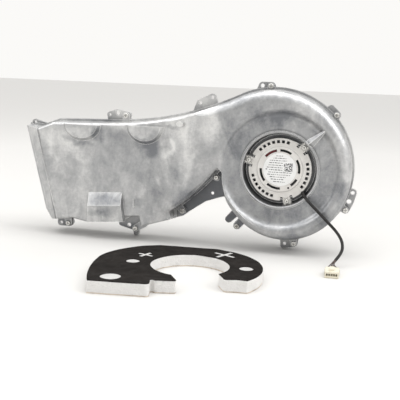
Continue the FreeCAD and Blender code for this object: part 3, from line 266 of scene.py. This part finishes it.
def cast_aluminium(name, gain, stains_and_painted_light):
    """Die-cast alloy: cold-flow streaks, bluish staining with painted shade and painted highlights, satin
    grain, edges lightened by wear and a painted highlight, and painted shade in recesses.
    """
    made, tree, shader = material(name, metallic=0.80)
    coords = object_coords(tree)
    broad = cloud(tree, coords, 13.0, 4.0, 0.55, 1.1)
    mottle = cloud(tree, coords, 55.0, 6.0, 0.66, 1.2)
    flow = cloud(tree, object_coords(tree, (34.0, 30.0, 12.0)), 1.0, 4.0, 0.55, 2.0)
    grain = cloud(tree, coords, 950.0, 2.0, 0.5)
    speckle = cloud(tree, coords, 230.0, 4.0, 0.75, 0.5)
    tone = math_node(tree, "ADD", math_node(tree, "MULTIPLY", broad, 0.36),
                     math_node(tree, "MULTIPLY", mottle, 0.20))
    tone = math_node(tree, "ADD", tone, math_node(tree, "MULTIPLY", flow, 0.24))
    tone = math_node(tree, "ADD", tone, math_node(tree, "MULTIPLY", speckle, 0.20))
    # Blotches: staining, plus painted shade and painted highlights
    tone = math_node(tree, "ADD", tone, math_node(tree, "MULTIPLY", stain_and_painted_light_field(tree, coords, stains_and_painted_light), 0.17))
    radius = from_axis(tree, coords)
    # Painted shade: darker inside the dish, fading out towards its rim
    dish = add(tree, "ShaderNodeMapRange",
               {"Value": radius, "From Min": DISH_RADIUS[0], "From Max": DISH_RADIUS[1], "To Min": -0.085,
                "To Max": 0.0}, interpolation_type="SMOOTHSTEP")
    tone = math_node(tree, "ADD", tone, dish.outputs["Result"])
    dark, middle, light = [tuple(channel * gain for channel in colour) for colour in
                           ((0.215, 0.223, 0.238), (0.455, 0.458, 0.462), (0.80, 0.797, 0.785))]
    colour = ramp(tree, tone, [(0.31, dark), (0.50, middle), (0.70, light)])
    specks = remap(tree, cloud(tree, coords, 420.0, 3.0, 0.7), 0.60, 0.74)
    colour = mix(tree, math_node(tree, "MULTIPLY", specks, 0.25), colour, (0.30, 0.30, 0.31))
    # Painted shade in corners and recesses
    shade = remap(tree, occlusion_shade(tree, 0.016), 0.15, 0.9, 0.55, 0.0)
    colour = mix(tree, shade, colour, (0.04, 0.04, 0.042))
    # Painted shade inside the motor's opening
    opening_shade = math_node(tree, "MULTIPLY", remap(tree, radius, OPENING_RADIUS, OPENING_RADIUS - 0.002), 0.6)
    colour = mix(tree, opening_shade, colour, (0.05, 0.05, 0.052))
    # Painted shade: a dark line beside the outlet's bead
    from_shade_line = away_from(tree, vector_math(tree, "DOT_PRODUCT", coords, OUTLET_NORMAL), OUTLET_SHADE_LINE)
    colour = mix(tree, remap(tree, from_shade_line, 0.0015, 0.0006, 0.0, 0.5), colour, (0.08, 0.08, 0.083))
    # Painted highlight on the lip of the motor's opening
    lip = remap(tree, away_from(tree, radius, LIP_RADIUS), 0.0022, 0.0012)
    parts = add(tree, "ShaderNodeSeparateXYZ", {0: coords}).outputs
    # Painted shade on the upper half of the opening's rounding
    rounding = remap(tree, away_from(tree, radius, ROUNDING_RADIUS), 0.0040, 0.0015)
    opening_top_shade = math_node(tree, "MULTIPLY", rounding, remap(tree, parts["Z"], -0.010, 0.030, 0.0, 0.55))
    colour = mix(tree, opening_top_shade, colour, (0.07, 0.07, 0.073))
    off_seam = remap(tree, away_from(tree, parts["X"], SEAM_X), 0.0018, 0.003, 0.0, 0.8)
    # Sharp edges lighten: wear, plus a painted highlight along them
    edge_marks = math_node(tree, "MULTIPLY", sharp_edges(tree, 0.0014), off_seam)
    rubbed_and_highlit = math_node(tree, "MAXIMUM", edge_marks,
                       math_node(tree, "MULTIPLY", lip, 0.2))
    colour = mix(tree, rubbed_and_highlit, colour, (0.93, 0.93, 0.92))
    rough = remap(tree, mottle, 0.35, 0.65, 0.29, 0.44)
    relief = bump(tree, grain, 0.00012, 0.5)
    relief = bump(tree, flow, 0.0016, 0.5, relief)
    relief = bump(tree, mottle, 0.0009, 0.4, relief)
    connect(tree, shader, colour=colour, roughness=rough, normal=relief)
    return made


def metal(name, dark, light, roughness=(0.25, 0.4), metallic=0.95, scale=60.0, grain=700.0, wear=0.0):
    made, tree, shader = material(name, metallic=metallic)
    coords = object_coords(tree)
    patches = cloud(tree, coords, scale, 5.0, 0.6, 0.6)
    colour = ramp(tree, patches, [(0.35, dark), (0.65, light)])
    if wear:
        edge_marks = math_node(tree, "MULTIPLY", sharp_edges(tree, 0.0005), wear)
        colour = mix(tree, edge_marks, colour, (0.9, 0.89, 0.86))
    # Painted shade in corners and recesses
    colour = mix(tree, remap(tree, occlusion_shade(tree, 0.004), 0.2, 0.9, 0.75, 0.0), colour, (0.03, 0.03, 0.03))
    rough = remap(tree, cloud(tree, coords, scale * 3.0, 4.0), 0.35, 0.65, *roughness)
    relief = bump(tree, cloud(tree, coords, grain, 2.0), 0.00006, 0.5)
    connect(tree, shader, colour=colour, roughness=rough, normal=relief)
    return made


def moulded(name, dark, light, roughness=(0.35, 0.5), scale=120.0, grain=1500.0, depth=0.00005, specular=0.5):
    """Plastic, rubber, film or paper: fine grain with a slow change of tone."""
    made, tree, shader = material(name, specular=specular)
    coords = object_coords(tree)
    colour = ramp(tree, cloud(tree, coords, scale, 5.0, 0.6, 0.4), [(0.35, dark), (0.65, light)])
    rough = remap(tree, cloud(tree, coords, scale * 2.0, 3.0), 0.35, 0.65, *roughness)
    relief = bump(tree, cloud(tree, coords, grain, 3.0, 0.7), depth, 0.8)
    connect(tree, shader, colour=colour, roughness=rough, normal=relief)
    return made


def banded(name, dark, light, direction, pitch, depth, roughness=0.45, metallic=0.0):
    """Repeated ridges along one axis: stacked sheets or wound wire."""
    made, tree, shader = material(name, metallic=metallic, roughness=roughness)
    scale = 1.0 / pitch / 20.0 * math.tau
    bands = add(tree, "ShaderNodeTexWave",
                {"Vector": object_coords(tree), "Scale": scale, "Distortion": 0.6, "Detail": 2.0},
                bands_direction=direction).outputs["Fac"]
    colour = ramp(tree, bands, [(0.2, dark), (0.8, light)])
    connect(tree, shader, colour=colour, normal=bump(tree, bands, depth, 0.8))
    return made


def open_foam(name, gain=1.0):
    """Open-cell foam: small pits darkened with painted shade, and a slow change of tone."""
    made, tree, shader = material(name, roughness=0.95, specular=0.15)
    shader.inputs["Subsurface Weight"].default_value = 0.15
    shader.inputs["Subsurface Radius"].default_value = (0.004, 0.004, 0.004)
    shader.inputs["Subsurface Scale"].default_value = 1.0
    coords = object_coords(tree)
    cells = add(tree, "ShaderNodeTexVoronoi", {"Vector": coords, "Scale": 620.0}).outputs["Distance"]
    patches = cloud(tree, coords, 45.0, 4.0)
    low, high, pit_shade = [tuple(channel * gain for channel in colour) for colour in
                      ((0.70, 0.69, 0.672), (0.76, 0.75, 0.735), (0.62, 0.607, 0.59))]
    # Painted shade in the pits
    colour = mix(tree, remap(tree, cells, 0.30, 0.0), ramp(tree, patches, [(0.3, low), (0.7, high)]), pit_shade)
    height = add(tree, "ShaderNodeSeparateXYZ", {0: coords}).outputs["Z"]
    liner = remap(tree, height, FLOOR + 0.0014, FLOOR + 0.0008, 0.0, 0.55)
    colour = mix(tree, liner, colour, (0.60, 0.44, 0.27))
    relief = bump(tree, cells, 0.0006, 0.7)
    relief = bump(tree, cloud(tree, coords, 240.0, 3.0), 0.0008, 0.5, relief)
    connect(tree, shader, colour=colour, normal=relief)
    return made


def braided_sleeve():
    """Charcoal braid: two families of thin strands that cross."""
    made, tree, shader = material("black_sleeve", roughness=0.62, specular=0.4)
    coords = object_coords(tree)
    settings = {"Vector": coords, "Scale": 520.0, "Distortion": 1.5, "Detail": 1.0}
    waves = [add(tree, "ShaderNodeTexWave", settings, bands_direction=axis).outputs["Fac"]
             for axis in ("X", "Z")]
    braid = math_node(tree, "MULTIPLY", waves[0], waves[1])
    colour = ramp(tree, braid, [(0.1, (0.012, 0.011, 0.011)), (0.8, (0.055, 0.052, 0.05))])
    connect(tree, shader, colour=colour, normal=bump(tree, braid, 0.0003, 0.9))
    return made


def black_film():
    """Warm black film with a faint orange-peel and a few scuffs."""
    made, tree, shader = material("black_film", specular=0.1)
    coords = object_coords(tree)
    scuffs = remap(tree, cloud(tree, object_coords(tree, (60.0, 12.0, 1.0)), 1.0, 6.0, 0.75, 1.0), 0.60, 0.75)
    colour = ramp(tree, cloud(tree, coords, 30.0, 4.0),
                  [(0.35, (0.010, 0.0084, 0.0074)), (0.65, (0.017, 0.0145, 0.013))])
    colour = mix(tree, math_node(tree, "MULTIPLY", scuffs, 0.3), colour, (0.055, 0.05, 0.046))
    rough = remap(tree, cloud(tree, coords, 90.0, 4.0), 0.35, 0.65, 0.70, 0.85)
    relief = bump(tree, cloud(tree, coords, 700.0, 3.0), 0.0001, 0.5)
    relief = bump(tree, cloud(tree, coords, 55.0, 3.0), 0.0012, 0.35, relief)
    connect(tree, shader, colour=colour, roughness=rough, normal=relief)
    return made


# Settings in the order of each material function: dark and light colour, then the rest
METALS = {
    "steel_plate": ((0.68, 0.66, 0.63), (0.77, 0.75, 0.72), (0.34, 0.46), 0.3, 40.0, 900.0, 0.4),
    "zinc_steel": ((0.58, 0.57, 0.54), (0.80, 0.79, 0.76), (0.18, 0.3), 0.95, 200.0, 900.0, 0.3),
    "bare_steel": ((0.34, 0.34, 0.35), (0.52, 0.52, 0.53), (0.25, 0.4), 0.95, 90.0),
    "wheel_steel": ((0.46, 0.47, 0.48), (0.64, 0.65, 0.66), (0.28, 0.42), 0.9, 140.0, 700.0, 0.3),
    "brass": ((0.62, 0.44, 0.18), (0.80, 0.62, 0.30), (0.22, 0.35), 0.95, 120.0),
}
MOULDED = {
    "magnet": ((0.035, 0.035, 0.038), (0.07, 0.07, 0.075), (0.5, 0.65)),
    "black_rubber": ((0.012, 0.012, 0.012), (0.03, 0.03, 0.03), (0.6, 0.8), 200.0, 1800.0, 0.0001),
    "gasket": ((0.03, 0.03, 0.032), (0.06, 0.06, 0.062), (0.7, 0.85), 150.0, 1200.0, 0.0001),
    "label_paper": ((0.80, 0.80, 0.79), (0.88, 0.88, 0.87), (0.3, 0.42), 60.0, 900.0, 0.00002),
    "insulator": ((0.62, 0.58, 0.46), (0.72, 0.68, 0.56), (0.4, 0.55)),
    "board": ((0.003, 0.010, 0.006), (0.006, 0.018, 0.010), (0.3, 0.45), 90.0),
    "component": ((0.02, 0.02, 0.022), (0.05, 0.05, 0.055), (0.35, 0.5)),
    "wire_insulation": ((0.03, 0.02, 0.018), (0.09, 0.06, 0.045), (0.3, 0.4), 300.0, 2000.0, 0.00004),
    "cream_plastic": ((0.66, 0.61, 0.47), (0.78, 0.74, 0.62), (0.3, 0.42), 160.0, 1400.0, 0.00006),
}
BANDED = {
    "lamination": ((0.12, 0.12, 0.13), (0.30, 0.31, 0.33), "Y", 0.0005, 0.0001, 0.4, 0.8),
    "copper_wire": ((0.30, 0.11, 0.04), (0.62, 0.28, 0.12), "Y", 0.0006, 0.0002, 0.35, 0.7),
}
LOOKS = {
    "cast_aluminium": cast_aluminium("cast_aluminium", 1.0, CASING_STAINS_SHADE_AND_HIGHLIGHTS),
    # A darker copy of the casing's look: painted shade on the rear casting
    "rear_casting": cast_aluminium("rear_casting", 0.85, CASING_STAINS_SHADE_AND_HIGHLIGHTS + NOTCH_PAINTED_SHADE),
    "white_foam": open_foam("white_foam"),
    # A darker copy of the foam's look for the pad's top faces: painted shade
    "foam_top_painted_shade": open_foam("foam_top_painted_shade", 0.66),
    "black_film": black_film(),
    "black_sleeve": braided_sleeve(),
}
for make, table in ((metal, METALS), (moulded, MOULDED), (banded, BANDED)):
    LOOKS.update({name: make(name, *settings) for name, settings in table.items()})


def dress(piece, slot_name):
    piece.data.materials.clear()
    piece.data.materials.append(LOOKS[slot_name])


for entry in frame["record"]["subparts"]:
    dress(bpy.data.objects[entry["node"]], entry["material_slot"])
# The rear casting takes the darker copy: painted shade
for node in ("rear_shell", "rear_ears"):
    dress(bpy.data.objects[node], "rear_casting")


# Camera, at the viewing angle of a blower that leans back a little

def place_camera():
    forward = Vector((-0.19475, 0.96310, -0.18579)).normalized()
    up = Vector((-0.07281, 0.17470, 0.98193)).normalized()
    right = forward.cross(up).normalized()
    up = right.cross(forward)
    lens = bpy.data.cameras.new("camera")
    lens.sensor_width = 36.0
    lens.lens = 67.14
    camera = bpy.data.objects.new("camera", lens)
    turn = Matrix((right, up, -forward)).transposed().to_4x4()
    camera.matrix_world = Matrix.Translation((0.093667, -1.063818, 0.142859)) @ turn
    bpy.context.collection.objects.link(camera)
    bpy.context.scene.camera = camera


# Motor lead

def curve_piece(name, points, diameter, look):
    data = bpy.data.curves.new(name, "CURVE")
    data.dimensions = "3D"
    data.bevel_depth = diameter / 2.0
    data.bevel_resolution = 6
    data.resolution_u = 10
    data.use_fill_caps = True
    spline = data.splines.new("NURBS")
    spline.points.add(len(points) - 1)
    for target, point in zip(spline.points, points):
        target.co = (*point, 1.0)
    spline.order_u = 3
    spline.use_endpoint_u = True
    piece = bpy.data.objects.new(name, data)
    bpy.context.collection.objects.link(piece)
    data.materials.append(LOOKS[look])
    return piece


def lead_route(k):
    """One wire from the sleeve's end to its place in the connector, as in the CAD model."""
    end, before = Vector(SLEEVE_ROUTE[-1]), Vector(SLEEVE_ROUTE[-2])
    along = (end - before).normalized()
    right = -along.cross(Vector((0, 0, 1))).normalized()
    up = along.cross(right).normalized()
    angle = math.radians(LEAD_RING_ANGLES[k])
    start = end + (right * math.cos(angle) + up * math.sin(angle)) * LEAD_RING_RADIUS + along * 0.00005
    side = k - 2
    plug_x = CONNECTOR_CENTRE_X + CONNECTOR_PITCH * side
    return [start, start + along * 0.007,
            Vector((plug_x + 0.0003 * side, CONNECTOR_REAR + 0.0115, LEAD_HEIGHT - 0.0005)),
            Vector((plug_x, CONNECTOR_REAR, LEAD_HEIGHT))]


def motor_lead():
    sleeve = curve_piece("motor_lead_sleeve", SLEEVE_ROUTE, SLEEVE_DIAMETER, "black_sleeve")
    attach(sleeve, "housing")
    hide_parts("motor_cable")
    for k in range(len(LEAD_RING_ANGLES)):
        route = lead_route(k)
        lead = curve_piece(f"lead_{k + 1}", route, LEAD_DIAMETER, "wire_insulation")
        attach(lead, "housing")
        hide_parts("cable_leads")


# Foam pad

def pad_relief(x, y):
    """Height of the pad's uneven top over its flat shape."""
    swell = noise.noise(Vector((x * 16.0, y * 16.0, 3.0)))
    ripple = noise.noise(Vector((x * 60.0, y * 60.0, 7.0)))
    return 0.0007 * swell + 0.0003 * ripple


def gridded(mesh_from, pitch):
    """Copy of a mesh cut along a grid, so that it can follow a relief."""
    made = bmesh.new()
    made.from_mesh(mesh_from)
    bmesh.ops.remove_doubles(made, verts=made.verts, dist=1e-6)
    low = [min(v.co[axis] for v in made.verts) for axis in range(3)]
    high = [max(v.co[axis] for v in made.verts) for axis in range(3)]
    for axis in range(3):
        step = pitch if axis < 2 else pitch / 2.0
        place = low[axis] + step
        while place < high[axis] - step / 2.0:
            point, normal = Vector((0, 0, 0)), Vector((0, 0, 0))
            point[axis], normal[axis] = place, 1.0
            bmesh.ops.bisect_plane(made, geom=made.verts[:] + made.edges[:] + made.faces[:],
                                   plane_co=point, plane_no=normal)
            place += step
    return made


def foam_pad():
    """Foam body and its film in one piece: uneven top, soft hand-cut sides, crisp film."""
    foam_low, foam_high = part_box("acoustic_pad")
    thickness = foam_high.z - foam_low.z
    body = gridded(bpy.data.objects["acoustic_pad"].data, 0.005)
    for vert in body.verts:
        share = (vert.co.z - foam_low.z) / thickness
        spot = Vector((vert.co.x * 90.0, vert.co.y * 90.0, vert.co.z * 160.0))
        inward = Vector((noise.noise(spot), noise.noise(spot + Vector((9.0, 0.0, 0.0))), 0.0)) * 0.0006
        vert.co += inward
        vert.co.z += pad_relief(vert.co.x, vert.co.y) * max(0.0, share)
    film = gridded(bpy.data.objects["acoustic_pad_film"].data, 0.005)
    for vert in film.verts:
        vert.co.z += pad_relief(vert.co.x, vert.co.y)
    joined = bpy.data.meshes.new("foam_pad")
    for face in film.faces:
        face.material_index = 1
    film_mesh = bpy.data.meshes.new("film_part")
    film.to_mesh(film_mesh)
    # Top faces take the darker foam: painted shade
    for face in body.faces:
        if face.normal.z > 0.9:
            face.material_index = 2
    body.from_mesh(film_mesh)
    body.to_mesh(joined)
    body.free()
    film.free()
    bpy.data.meshes.remove(film_mesh)
    joined.materials.append(LOOKS["white_foam"])
    joined.materials.append(LOOKS["black_film"])
    joined.materials.append(LOOKS["foam_top_painted_shade"])
    joined.polygons.foreach_set("use_smooth", [True] * len(joined.polygons))
    joined.set_sharp_from_angle(angle=math.radians(38.0))
    piece = bpy.data.objects.new("foam_pad", joined)
    bpy.context.collection.objects.link(piece)
    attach(piece, "housing")
    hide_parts("acoustic_pad", "acoustic_pad_film")


# Label print: generic bars and a square of random cells, which say nothing

def bar(made, x0, x1, z0, z1, y):
    corners = [made.verts.new(p) for p in ((x0, y, z0), (x1, y, z0), (x1, y, z1), (x0, y, z1))]
    made.faces.new(corners)


def label_print():
    low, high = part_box("motor_label")
    y = low.y - 0.00003
    radius = (high.x - low.x) / 2.0
    chance = random.Random(7)
    made = bmesh.new()
    line_height, line_gap = 0.00085, 0.0032
    rows = 12
    for row in range(rows):
        z = radius * 0.80 - row * line_gap
        reach = math.sqrt(max(0.0, (radius * 0.86) ** 2 - z * z))
        x = -reach * chance.uniform(0.75, 0.95)
        stop = reach * chance.uniform(0.45, 0.9)
        if -0.0035 < z < 0.0105:
            stop = 0.0035
        while x < stop:
            word = chance.uniform(0.0012, 0.0042)
            bar(made, x, min(x + word, stop), z, z + line_height * chance.uniform(0.7, 1.25), y)
            x += word + 0.0009
    cells, side, left, bottom = 14, 0.0115, 0.0052, -0.0022
    pitch = side / cells
    for i in range(cells):
        for j in range(cells):
            if chance.random() < 0.52:
                x, z = left + i * pitch, bottom + j * pitch
                bar(made, x, x + pitch, z, z + pitch, y)
    bar(made, -0.0192, -0.0172, -0.0008, 0.0004, y)
    mesh = bpy.data.meshes.new("label_print")
    made.to_mesh(mesh)
    made.free()
    mesh.materials.append(moulded("label_ink", (0.035, 0.035, 0.037), (0.09, 0.09, 0.095), (0.4, 0.5), 400.0))
    piece = bpy.data.objects.new("label_print", mesh)
    bpy.context.collection.objects.link(piece)
    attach(piece, "housing")


def red_insulation():
    """Red film that shows through the cover's upper left slot."""
    made = bmesh.new()
    steps = 14
    inner, outer = 0.0236, 0.0284
    front, back = -0.0624, -0.0621
    rows = []
    for k in range(steps + 1):
        angle = math.radians(99.0 + 44.0 * k / steps)
        rows.append([made.verts.new((r * math.cos(angle), y, r * math.sin(angle)))
                     for r, y in ((inner, front), (outer, front), (outer, back), (inner, back))])
    for first, second in zip(rows, rows[1:]):
        for k in range(4):
            made.faces.new((first[k], first[(k + 1) % 4], second[(k + 1) % 4], second[k]))
    made.faces.new(rows[0][::-1])
    made.faces.new(rows[-1])
    bmesh.ops.recalc_face_normals(made, faces=made.faces)
    mesh = bpy.data.meshes.new("red_insulation")
    made.to_mesh(mesh)
    made.free()
    mesh.materials.append(moulded("red_film", (0.10, 0.008, 0.012), (0.17, 0.016, 0.02), (0.35, 0.45), 200.0))
    piece = bpy.data.objects.new("red_insulation", mesh)
    bpy.context.collection.objects.link(piece)
    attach(piece, "housing")


# Floor, world and lights

def stage():
    mesh = bpy.data.meshes.new("floor")
    size = 6.0
    corners = [(-size, -size, 0), (size, -size, 0), (size, size, 0), (-size, size, 0)]
    mesh.from_pydata(corners, [], [(0, 1, 2, 3)])
    floor = bpy.data.objects.new("floor", mesh)
    floor.location.z = FLOOR - 0.0001
    made, tree, shader = material("floor", roughness=0.85, specular=0.2)
    coords = object_coords(tree)
    # Painted shade: the floor is darker near the object, reaching its full tone about 1.2 m out
    near = ramp(tree, cloud(tree, coords, 2.5, 3.0),
                [(0.3, (0.60, 0.592, 0.577)), (0.7, (0.63, 0.622, 0.607))])
    far = remap(tree, vector_math(tree, "LENGTH", coords), 0.35, 1.2)
    colour = mix(tree, far, near, (0.73, 0.721, 0.705))
    connect(tree, shader, colour=colour)
    mesh.materials.append(made)
    bpy.context.collection.objects.link(floor)

    world = bpy.data.worlds.new("world")
    world.use_nodes = True
    tree = world.node_tree
    seen = tree.nodes["Background"]
    seen.inputs["Color"].default_value = (0.965, 0.955, 0.935, 1.0)
    direction = add(tree, "ShaderNodeSeparateXYZ", {0: add(tree, "ShaderNodeTexCoord").outputs["Generated"]})
    height = remap(tree, direction.outputs["Z"], -0.1, 0.75, 0.45, 1.15)
    room = add(tree, "ShaderNodeBackground", {"Color": (1.0, 0.995, 0.985, 1.0), "Strength": height})
    picked = add(tree, "ShaderNodeMixShader", {0: add(tree, "ShaderNodeLightPath").outputs["Is Camera Ray"],
                                              1: room.outputs[0], 2: seen.outputs[0]})
    tree.links.new(picked.outputs[0], tree.nodes["World Output"].inputs["Surface"])
    bpy.context.scene.world = world


def area_light(name, place, target, size, energy, colour=(1.0, 1.0, 1.0)):
    data = bpy.data.lights.new(name, "AREA")
    data.shape = "RECTANGLE"
    data.size, data.size_y = size
    data.energy = energy
    data.color = colour
    lamp = bpy.data.objects.new(name, data)
    lamp.location = place
    lamp.rotation_euler = (Vector(target) - Vector(place)).to_track_quat("-Z", "Y").to_euler()
    bpy.context.collection.objects.link(lamp)


place_camera()
motor_lead()
foam_pad()
label_print()
red_insulation()
stage()
middle = (Vector(cad_box[0]) + Vector(cad_box[1])) / 2.0
area_light("overhead", middle + Vector((0.0, 0.0, 1.2)), middle, (1.6, 0.9), 11.0)
area_light("right", middle + Vector((1.25, -0.15, 0.95)), middle + Vector((0.1, 0.0, 0.0)), (0.9, 0.9), 8.5)
area_light("key", middle + Vector((-1.3, -1.1, 1.1)), middle, (0.8, 0.8), 5.0)
bpy.context.scene.view_settings.view_transform = "Standard"
